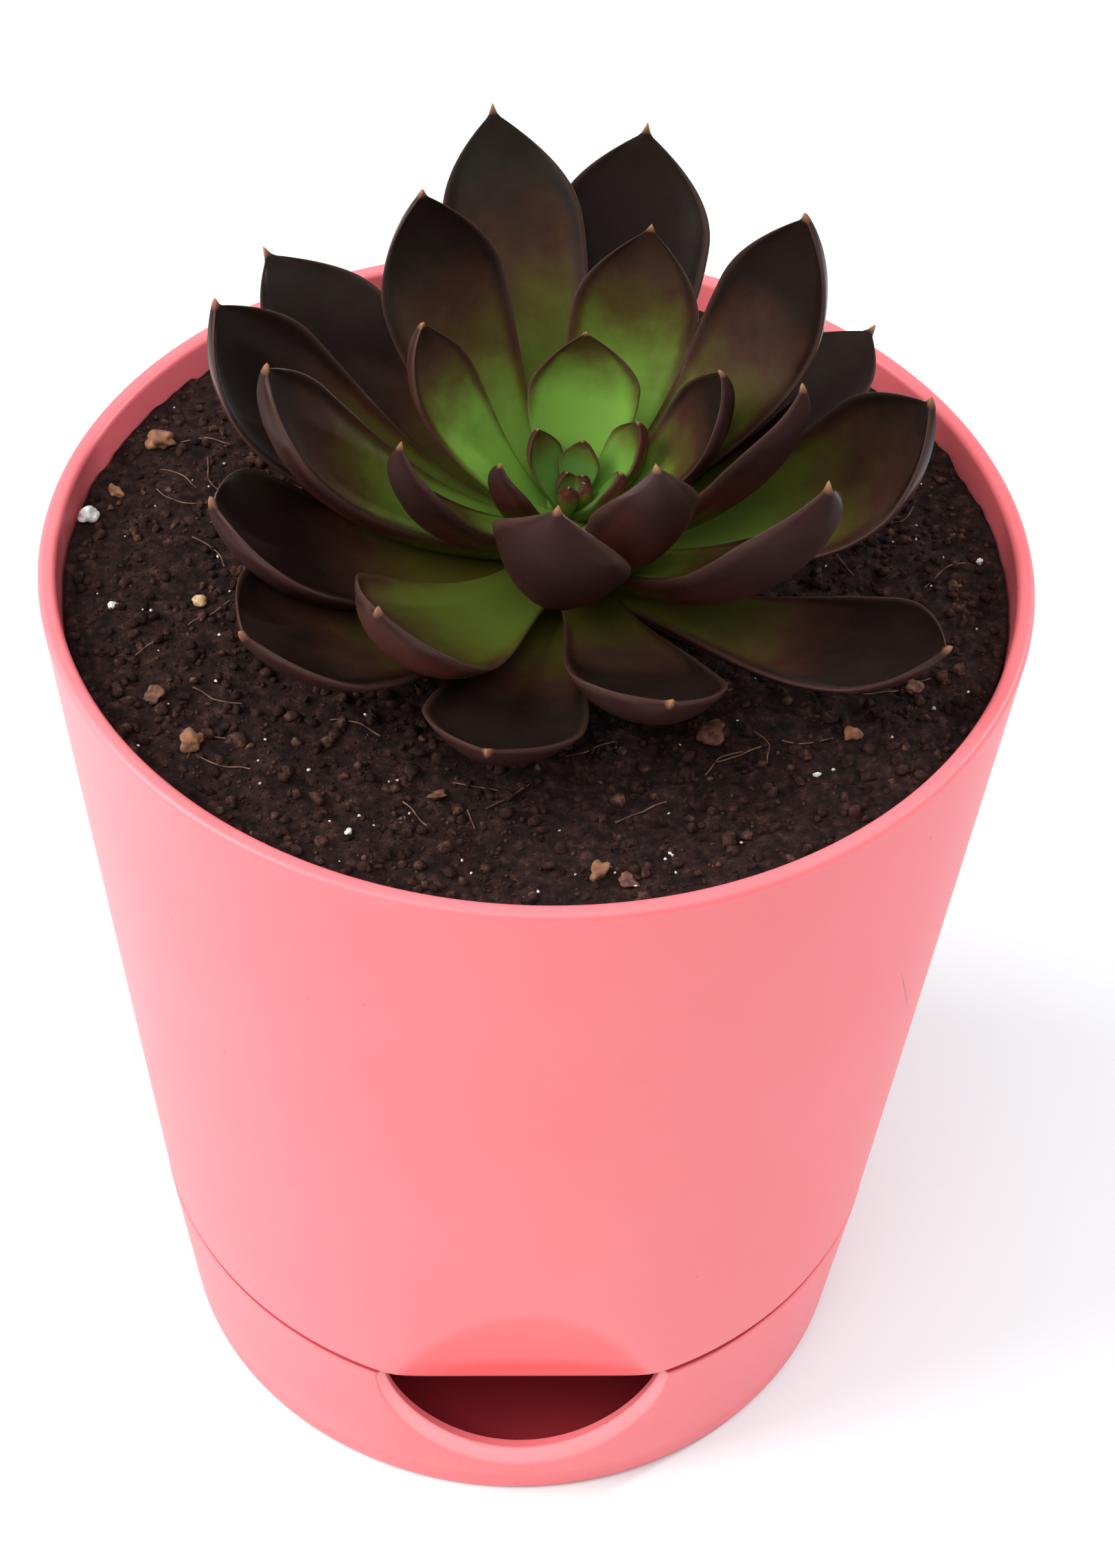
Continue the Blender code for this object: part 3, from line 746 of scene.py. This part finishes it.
def many_lumps(rows, dice, batch=80):
    """One bmesh of many lumps. Small batches are made apart, because a large bmesh grows slowly."""
    whole = bmesh.new()
    batch_mesh = bpy.data.meshes.new("batch")
    for start in range(0, len(rows), batch):
        part = bmesh.new()
        for place, size in rows[start:start + batch]:
            lump(part, place, size, CRUMB_FLAT, dice)
        part.to_mesh(batch_mesh)
        part.free()
        whole.from_mesh(batch_mesh)
    bpy.data.meshes.remove(batch_mesh)
    return whole


print("lumps ready")

# %% [markdown]
# The crumbs are strewn evenly over the whole bed, but none stands where the stem does.

# %% Loose crumbs
SEED = 7
CRUMBS = 8600
CRUMB_MM = (0.3, 2.1)
CRUMB_SKEW = 4.5     # the higher, the more of them are small
CRUMB_FLAT = 0.75    # height for width
CRUMB_PROUD = 0.12   # how far the middle stands above the bed, as a share of the width
CRUMB_EDGE = 0.8     # kept clear at the wall, mm

dice = random.Random(SEED)
crumb_rows = []
for i in range(CRUMBS):
    reach = (edge_r - CRUMB_EDGE) * math.sqrt(dice.random())
    bearing = dice.uniform(0, math.tau)
    x, y = reach * math.cos(bearing), reach * math.sin(bearing)
    size = CRUMB_MM[0] + (CRUMB_MM[1] - CRUMB_MM[0]) * dice.random() ** CRUMB_SKEW
    if math.hypot(x - STEM_PLACE.x, y - STEM_PLACE.y) > STEM_R + size:
        crumb_rows.append((on_soil(x, y, CRUMB_PROUD * size), size))
soil_crumbs = to_object("soil_crumbs", many_lumps(crumb_rows, dice))
print(len(crumb_rows), "loose crumbs")

# %% [markdown]
# The mix is coloured by noise on its own place: a nearly black ground, brown where a crumb is
# dry, and a few reddish bits of bark. The finest dust is bump, because it is too small to model.

# %% Moist potting mix
GRIT_MM = 0.5


def soil_material(name, dark, middle, light, mm):
    """Matt, mottled earth with a fine gritty relief."""
    mat, tree, shader = new_material(name, 0.95, Specular_IOR_Level=0.12)
    place = add(tree, "ShaderNodeTexCoord").outputs["Object"]
    tone = ramp(tree, clouds(tree, place, mm, 5, 0.7), [(0.38, dark), (0.72, light), (0.56, middle)])
    tree.links.new(tone, shader.inputs["Base Color"])
    emboss(tree, shader, clouds(tree, place, GRIT_MM, 4, 0.75), 0.9, 0.0004)
    return mat


finish_piece(soil_bed, soil_material("moist_peat", "150D0C", "2C1C19", "4A332C", 1.6),
             "potting_soil", "soil", sharp=0)
finish_piece(soil_crumbs, soil_material("peat_crumbs", "1B100F", "3C2722", "765445", 2.4),
             "potting_soil", sharp=0)

# %% [markdown]
# A few larger things lie on the soil where the photograph shows them: white perlite, bark chips,
# a pale seed, dry brown clods, and hair-thin root fibres. Each is given in millimetres from the
# pot's axis, and rests on the bed.

# %% Perlite, bark and fibres
PERLITE = [(-55.0, 9.0, 2.6), (-51.0, -7.0, 1.0), (31.3, -34.6, 0.9), (54.4, 2.6, 0.9), (-22.0, -44.0, 0.8),
           (14.0, -47.0, 0.7), (-34.0, 30.0, 1.1), (40.0, 34.0, 1.0), (-8.0, 50.0, 1.2)]
BARK = [(19.3, -28.7, 3.6), (9.1, -51.0, 2.4), (-45.0, -22.0, 2.8), (44.0, -20.0, 2.2), (30.0, 42.0, 3.2),
        (-28.0, 42.0, 2.6), (-12.0, -38.0, 2.2)]
CLODS = [(-47.1, 22.8, 3.2), (-40.2, -30.1, 3.0), (5.8, -49.9, 2.6), (-52.0, 14.0, 2.0), (36.0, -28.0, 2.0)]
SEEDS = [(-40.6, -6.0, 1.8)]
DETAIL_SEED = 21
DUST = 170
DUST_MM = (0.25, 0.5)
DUST_ABOVE = 0.35

dice = random.Random(DETAIL_SEED)


def scatter(name, rows, flat, above, rough, mat):
    """Lumps of one kind, each resting on the bed at its own place."""
    bm = bmesh.new()
    for x, y, size in rows:
        lump(bm, on_soil(x, y, above * size), size, flat, dice, detail=3, rough=rough)
    piece = to_object(name, bm)
    finish_piece(piece, mat, "potting_soil", sharp=0)


def grain_material(name, dark, light, mm, roughness):
    """A dry grain of one colour, mottled towards another."""
    mat, tree, shader = new_material(name, roughness)
    place = add(tree, "ShaderNodeTexCoord").outputs["Object"]
    patches = clouds(tree, place, mm, 4)
    tone = ramp(tree, patches, [(0.35, dark), (0.68, light)])
    tree.links.new(tone, shader.inputs["Base Color"])
    emboss(tree, shader, patches, 0.6, 0.0002)
    return mat


scatter("perlite", PERLITE, 0.8, 0.3, 0.3, grain_material("expanded_perlite", "B9B4B0", "EFECEA", 0.7, 0.85))
scatter("bark_chips", BARK, 0.35, 0.2, 0.35, grain_material("pine_bark", "3A211A", "7A4B36", 0.8, 0.8))
scatter("dry_clods", CLODS, 0.6, 0.2, 0.4, grain_material("dry_peat", "5A3A28", "936245", 1.2, 0.9))

# perlite dust: grains under half a millimetre, strewn over the bed
dust_rows = []
for i in range(DUST):
    reach = (edge_r - 1) * math.sqrt(dice.random())
    bearing = dice.uniform(0, math.tau)
    size = dice.uniform(*DUST_MM)
    place = on_soil(reach * math.cos(bearing), reach * math.sin(bearing), DUST_ABOVE)
    dust_rows.append((place, size))
dust = to_object("perlite_dust", many_lumps(dust_rows, dice))
finish_piece(dust, grain_material("perlite_powder", "A39A94", "E8E2DE", 0.7, 0.9), "potting_soil", sharp=0)

scatter("seeds", SEEDS, 0.6, 0.3, 0.1, grain_material("seed_husk", "9C7A55", "D0AE82", 0.6, 0.6))

# %% [markdown]
# Fibres are curves with a little thickness, up to six points each, which wander just above the
# bed. They are turned to meshes, because the exported model has no curves.

# %% Root fibres
FIBRES = 60
FIBRE_R = 0.09
FIBRE_POINTS = 6
FIBRE_STEP = 1.3
FIBRE_ARCH = 0.35


def fibre(dice):
    """One thin root fibre as a list of points on the bed."""
    reach = (edge_r - 8) * math.sqrt(dice.random())
    bearing = dice.uniform(0, math.tau)
    x, y = reach * math.cos(bearing), reach * math.sin(bearing)
    heading = dice.uniform(0, math.tau)
    points = []
    for i in range(FIBRE_POINTS):
        if math.hypot(x - STEM_PLACE.x, y - STEM_PLACE.y) < STEM_R + 1:
            break
        if math.hypot(x, y) > edge_r - 1.5 or y < FLAT_LOW_Y + 4:
            break
        points.append(on_soil(x, y, FIBRE_ARCH * dice.random() + FIBRE_R))
        x += FIBRE_STEP * math.cos(heading)
        y += FIBRE_STEP * math.sin(heading)
        heading += dice.uniform(-0.6, 0.6)
    return points


curve = bpy.data.curves.new("fibres", "CURVE")
curve.dimensions = "3D"
curve.bevel_depth = FIBRE_R * MM
curve.bevel_resolution = 1
curve.use_fill_caps = True
curve.resolution_u = 3
for i in range(FIBRES):
    route = fibre(dice)
    if len(route) < 3:
        continue
    spline = curve.splines.new("NURBS")
    spline.points.add(len(route) - 1)
    spline.use_endpoint_u = True
    for point, co in zip(spline.points, route):
        point.co = (co[0] * MM, co[1] * MM, co[2] * MM, 1)
holder = bpy.data.objects.new("fibres", curve)
bpy.context.scene.collection.objects.link(holder)
depsgraph = bpy.context.evaluated_depsgraph_get()
fibre_mesh = bpy.data.meshes.new_from_object(holder.evaluated_get(depsgraph))
bpy.data.objects.remove(holder, do_unlink=True)
root_fibres = bpy.data.objects.new("root_fibres", fibre_mesh)
bpy.context.scene.collection.objects.link(root_fibres)
finish_piece(root_fibres, grain_material("dry_root", "3C261D", "7E5C46", 1.5, 0.8), "potting_soil", sharp=0)

# %% [markdown]
# ## The plant
# An echeveria leaf is thick and stiff. It leaves the stem low and narrow, widens to a shoulder
# past its middle, and closes to a short point. It is hollow above, keeled below, and its margin
# is round. All the leaves follow this one rule, and a table gives what differs from leaf to leaf.

# %% Leaf table
CROWN_R = 7.0
LEAF_LOW_Z = 133.3
LEAF_RISE = 9.5
GOLDEN_ANGLE = 137.5
BUD_LEAVES = 4

# azimuth, rise at the base, rise at the tip, roll (degrees), length, width (mm), and the share of
# the length where green turns to brown, oldest first
LEAVES = [
    (-166, 4, 30, -1, 39.5, 18.5, 0.42),
    (123, 3, 33, -5, 47.5, 16.5, 0.46),
    (0, 5, 22, 0, 40.0, 18.0, 0.40),
    (-126, 6, 35, 3, 45.0, 23.5, 0.60),
    (52, 10, 23, 9, 46.5, 17.5, 0.30),
    (-30, 7, 24, 0, 40.0, 18.0, 0.40),
    (-106, 6, 55, -1, 45.5, 22.0, 0.55),
    (166, 6, 41, 12, 39.0, 18.0, 0.50),
    (-48, 14, 36, -5, 51.0, 19.0, 0.50),
    (33, 12, 30, 0, 34.0, 16.0, 0.40),
    (12, 24, 50, -10, 53.5, 19.5, 0.45),
    (-143, 4, 62, 11, 41.0, 18.5, 0.80),
    (-73, 6, 73, 7, 52.5, 19.5, 0.55),
    (90, 3, 73, -11, 48.5, 20.0, 0.68),
    (-13, 33, 51, -8, 53.0, 18.0, 0.64),
    (134, 20, 75, 9, 48.5, 15.5, 0.55),
    (-90, 11, 78, 1, 45.5, 17.0, 0.72),
    (-41, 33, 87, 9, 46.0, 16.5, 0.70),
    (66, 33, 90, -14, 50.0, 16.5, 0.65),
    (19, 30, 64, -20, 38.0, 15.5, 0.80),
    (95, 24, 76, 24, 36.0, 12.5, 0.60),
    (-69, 37, 83, 11, 32.5, 11.0, 0.85),
    (188, 13, 98, 13, 32.5, 16.5, 0.55),
    (-116, 16, 86, -10, 32.0, 9.5, 0.62),
    (86, 34, 86, -6, 29.0, 12.0, 0.70),
    (152, 21, 99, 11, 30.5, 13.0, 0.60),
    (6, 51, 73, -14, 22.5, 13.5, 1.05),
    (-120, 31, 86, -6, 16.5, 7.0, 0.80),
    (70, 41, 83, 4, 15.0, 7.5, 1.00),
    (-47, 50, 81, 7, 11.5, 5.0, 0.95),
    (116, 41, 77, -3, 10.5, 5.0, 1.00),
    (23, 62, 86, -4, 9.0, 5.0, 1.00),
]
rows = [(i / (len(LEAVES) - 1), *row) for i, row in enumerate(LEAVES)]
rows += [(1.0, GOLDEN_ANGLE * i + 60, 70, 86, 0, 5.0, 3.0, 1.0) for i in range(BUD_LEAVES)]
print(len(rows), "leaves")

# %% [markdown]
# The midrib is walked in small steps that turn upwards, and every step keeps a point and two
# directions, across the leaf and up from it. The rings of a sphere are then laid along it: a
# sphere has no open ends, and its poles become the root and the tip. The blade closes a little
# before the end of the midrib, and what is left is the mucro, the small spike of an echeveria.

# %% Leaf shape
LEAF_SIDES = 36
LEAF_RINGS = 58
RIB_POINTS = 81
BLADE_END = 0.97     # share of the length where the blade closes and the mucro begins
MUCRO_HALF = 0.65    # half the width of the mucro where it begins, mm
MARGIN_START = 0.62  # share of the half width where the blade turns up to its margin


def leaf_frames(age, azimuth, low_rise, tip_rise, roll, length):
    """Points and directions along a midrib, which leaves the stem low and curves upwards."""
    bearing = math.radians(azimuth)
    outwards = Vector((math.sin(bearing), math.cos(bearing), 0))
    side = Vector((math.cos(bearing), -math.sin(bearing), 0))
    point = STEM_PLACE + Vector((0, 0, LEAF_LOW_Z + LEAF_RISE * age ** 1.3))
    point += outwards * (STEM_R * (1 - age) + 0.5)
    frames = []
    before = None
    for i in range(RIB_POINTS):
        s = i / (RIB_POINTS - 1)
        rise = math.radians(low_rise + (tip_rise - low_rise) * s ** 1.4)
        along = outwards * math.cos(rise) + Vector((0, 0, math.sin(rise)))
        if before:
            point = point + (along + before) * (length / (RIB_POINTS - 1) / 2)
        before = along
        twist = math.radians(roll) * min(1.6 * s, 1)
        up = side.cross(along)
        across = side * math.cos(twist) + up * math.sin(twist)
        frames.append((point.copy(), across, across.cross(along)))
    return frames


print(RIB_POINTS, "points along each midrib")

# %% [markdown]
# The outline is a narrow foot, a sine that widens to the shoulder, a power curve that closes to
# the tip, and the mucro. Across the leaf, the top is hollow and the underside has a keel. The
# margin turns up a little and stays as thick as a fleshy leaf's.

# %% Leaf outline and section
def half_width(s, age, width):
    """Half the width at a share s of the length: narrow base, broad shoulder, short spiked tip."""
    peak = 0.75 - 0.08 * age
    foot = 0.34 + 0.10 * age
    widening = math.sin(math.pi / 2 * min(s / peak, 1)) ** (2.3 - 0.4 * age)
    past = max(0.0, min(1.0, (s - peak) / (BLADE_END - peak)))
    blade = width / 2 * (foot + (1 - foot) * widening) * (1 - past ** (2.3 - 0.5 * age))
    spike = MUCRO_HALF * min(1, width / 12) * min(1.0, (1 - s) / (1 - BLADE_END))
    return blade + spike * past ** 3


def make_leaf(tint, age, azimuth, low_rise, tip_rise, roll, length, width, green):
    """Lay a sphere's rings along a midrib, and note on each point where on the leaf it is."""
    frames = leaf_frames(age, azimuth, low_rise, tip_rise, roll, length)
    hollow = 0.20 + 0.16 * age
    bm = bmesh.new()
    layers = {name: bm.verts.layers.float.new(name) for name in LAYERS}
    bmesh.ops.create_uvsphere(bm, u_segments=LEAF_SIDES, v_segments=LEAF_RINGS, radius=1)
    for vert in bm.verts:
        ring = math.acos(max(-1.0, min(1.0, vert.co.z))) / math.pi
        s = 0.45 * ring + 0.55 * math.sin(math.pi / 2 * ring)
        spot = s * (RIB_POINTS - 1)
        low = min(int(spot), RIB_POINTS - 2)
        point, across, up = [a.lerp(b, spot - low) for a, b in zip(frames[low], frames[low + 1])]
        radius = math.hypot(vert.co.x, vert.co.y)
        cosine, sine = (vert.co.x / radius, vert.co.y / radius) if radius > 1e-4 else (0, 0)
        u = math.copysign(abs(cosine) ** 0.8, cosine)
        half = half_width(s, age, width)
        edge = (0.6 + 0.55 * min(width / 20, 1)) * math.sqrt(1 - s ** 5)
        swell = 0.35 + 0.65 * math.sin(math.pi / 2 * min(s / 0.4, 1))
        keel = 3.0 * max(0.25, min(width / 18, 1)) * swell * (1 - s ** 4)
        wave = 0.16 * noise.noise(Vector((s * 3, u * 1.2, tint * 40))) * min(1, width / 10)
        margin = max(0.0, (abs(u) - MARGIN_START) / (1 - MARGIN_START))
        height = hollow * half * (0.7 * u * u + 0.3 * margin ** 1.5) + edge * sine + wave
        if sine < 0:
            height -= keel * (1 - abs(u) ** 1.6)
        height += TIP_LIFT * max(0.0, (s - TIP_START) / (1 - TIP_START)) ** 2 * min(1, width / 12)
        vert.co = point + across * (u * half) + up * height
        values = {"along": s, "across": abs(u), "under": max(0.0, min(1.0, 0.5 - sine * 2.5)),
                  "age": age, "tint": tint, "green": green}
        for name, value in values.items():
            vert[layers[name]] = value
    bmesh.ops.recalc_face_normals(bm, faces=bm.faces)
    return bm


print(LEAF_SIDES, "by", LEAF_RINGS, "points on each leaf")

# %% [markdown]
# All the leaves go into one mesh. Each is made apart and then added, because a large bmesh grows
# slowly. Six values are stored on the points, and the leaf's material reads them: how far along
# the leaf and how near its margin a point is, whether it is on the underside, how young the leaf
# is, a random number for each leaf, and where its green ends.

# %% Leaves
LAYERS = ("along", "across", "under", "age", "tint", "green")
TIP_START = 0.86
TIP_LIFT = 1.2  # how far the tip curls up from its midrib, mm
TINT_SEED = 4

head = bmesh.new()
leaf_mesh = bpy.data.meshes.new("one_leaf")
dice = random.Random(TINT_SEED)
for row in rows:
    one = make_leaf(dice.random(), *row)
    one.to_mesh(leaf_mesh)
    one.free()
    head.from_mesh(leaf_mesh)
bpy.data.meshes.remove(leaf_mesh)
leaves = to_object("leaves", head)
print("the head:", len(leaves.data.polygons), "faces")

# %% [markdown]
# ## Leaf colour
# The rosette is green at its heart, and each leaf darkens outwards. One value drives this: how far
# a point is past the end of its leaf's green, from 0 in the green to 1 at the darkest. Noise makes
# its front uneven, each leaf is a little early or late, and the margins run ahead.

# %% Echeveria leaf
TINT_SHIFT = 0.07
MOTTLE_MM = 5.0
MOTTLE_SHIFT = 0.05
MARGIN_SHIFT = 0.2
SHADE_RANGE = (-0.45, 0.18)   # shares of the length before and past the end of the green

leaf_skin, tree, shader = new_material("waxy_leaf", 0.4, IOR=1.4, Subsurface_Weight=0.08,
                                       Subsurface_Scale=0.002, Specular_IOR_Level=0.08)
shader.inputs["Subsurface Radius"].default_value = (0.7, 1.0, 0.3)
place = add(tree, "ShaderNodeTexCoord").outputs["Object"]
along, across, under, age, tint, green = [
    add(tree, "ShaderNodeAttribute", attribute_name=name).outputs["Fac"] for name in LAYERS]
shade = maths(tree, "SUBTRACT", along, green)
wobble = spread(tree, clouds(tree, place, MOTTLE_MM, 5, 0.6), 0.3, 0.7, -MOTTLE_SHIFT, MOTTLE_SHIFT)
own = spread(tree, tint, 0, 1, -TINT_SHIFT, TINT_SHIFT)
margin = spread(tree, across, 0.7, 1, 0, MARGIN_SHIFT, "SMOOTHSTEP")
for shift in (wobble, own, margin):
    shade = maths(tree, "ADD", shade, shift)
shade = spread(tree, shade, *SHADE_RANGE)
print("leaf shade ready")

# %% [markdown]
# The upper side goes from green through olive and maroon to a brown that is nearly black. The
# green itself is dull on old leaves, fresh on young ones, and deep at the very heart. Undersides
# go from green through maroon to a dusty purple brown.

# %% Upper side and underside
OLD_GREEN = "443F12"
YOUNG_GREEN = "6A9438"
HEART_GREEN = "476A2C"
OLIVE = "454216"
MAROON = "341E15"
DARK = "1A100D"
UNDER_GREEN = "565F22"
UNDER_MAROON = "50261F"
UNDER_DARK = "2E1B19"

greens = ramp(tree, age, [(0.27, OLD_GREEN), (0.95, HEART_GREEN), (0.68, YOUNG_GREEN), (0.86, YOUNG_GREEN)])
browns = ramp(tree, shade, [(0.4, OLIVE), (0.98, DARK), (0.72, MAROON)])
upper = lay(tree, spread(tree, shade, 0, 0.55, ease="SMOOTHSTEP"), greens, browns)
lower = ramp(tree, shade, [(0.15, UNDER_GREEN), (1.0, UNDER_DARK), (0.55, UNDER_MAROON)])
skin = lay(tree, under, upper, lower)
print("both sides coloured")

# %% [markdown]
# Over that lie a little pale powder in clouds, a bloom along the margins that is partly wax and
# partly painted sheen where the round margins turn edge-on, and the dry tan of the mucro. The skin
# is waxy: dull on the face, and glossy where it is stretched round the margin, with a grain too
# fine to see but for the way it breaks up the gloss.

# %% Bloom and painted sheen, mucro and gloss
POWDER = "5F6450"
POWDER_MM = 14.0
WAX_BLOOM_AND_SHEEN = "5E423D"
MUCRO_TAN = "8A6048"
SKIN_MM = 0.5
FACE_GLOSS = 0.6
MARGIN_GLOSS = 0.14

powder = spread(tree, clouds(tree, place, POWDER_MM, 3), 0.5, 0.75, 0, 0.06)
# the margins' bloom: partly wax, partly painted sheen
bloom_and_sheen = spread(tree, across, 0.88, 1, 0, 0.3, "SMOOTHSTEP")
dry = spread(tree, along, 0.97, 0.99)
for mask, code in [(powder, POWDER), (bloom_and_sheen, WAX_BLOOM_AND_SHEEN), (dry, MUCRO_TAN)]:
    skin = lay(tree, mask, skin, linear(code))
tree.links.new(skin, shader.inputs["Base Color"])
gloss = spread(tree, across, 0.6, 0.9, FACE_GLOSS, MARGIN_GLOSS)
tree.links.new(gloss, shader.inputs["Roughness"])
emboss(tree, shader, clouds(tree, place, SKIN_MM, 3), 0.25, 0.00008)
finish_piece(leaves, leaf_skin, "leaf", "rosette", sharp=0)

# %% [markdown]
# The stem swells where the leaves leave it and goes down into its hole in the soil. It is brown
# and corky.

# %% Stem
CROWN_LOW_Z = 131.0
CROWN_TOP_Z = 142.6
STEM_LOW_Z = 118.0
stem_profile = [(0, STEM_LOW_Z), (STEM_R - 0.6, STEM_LOW_Z), (STEM_R, STEM_LOW_Z + 2), (STEM_R, CROWN_LOW_Z),
                (CROWN_R, CROWN_LOW_Z + 1.5), (CROWN_R, CROWN_LOW_Z + 4), (CROWN_R * 0.6, CROWN_LOW_Z + 7),
                (1.6, CROWN_TOP_Z - 1), (0, CROWN_TOP_Z)]
stem_mesh = turned(stem_profile, 48)
bmesh.ops.translate(stem_mesh, verts=stem_mesh.verts, vec=STEM_PLACE)
stem = to_object("stem", stem_mesh)
finish_piece(stem, grain_material("corky_stem", "5A4A2A", "7C8A3E", 2.0, 0.7), "leaf")
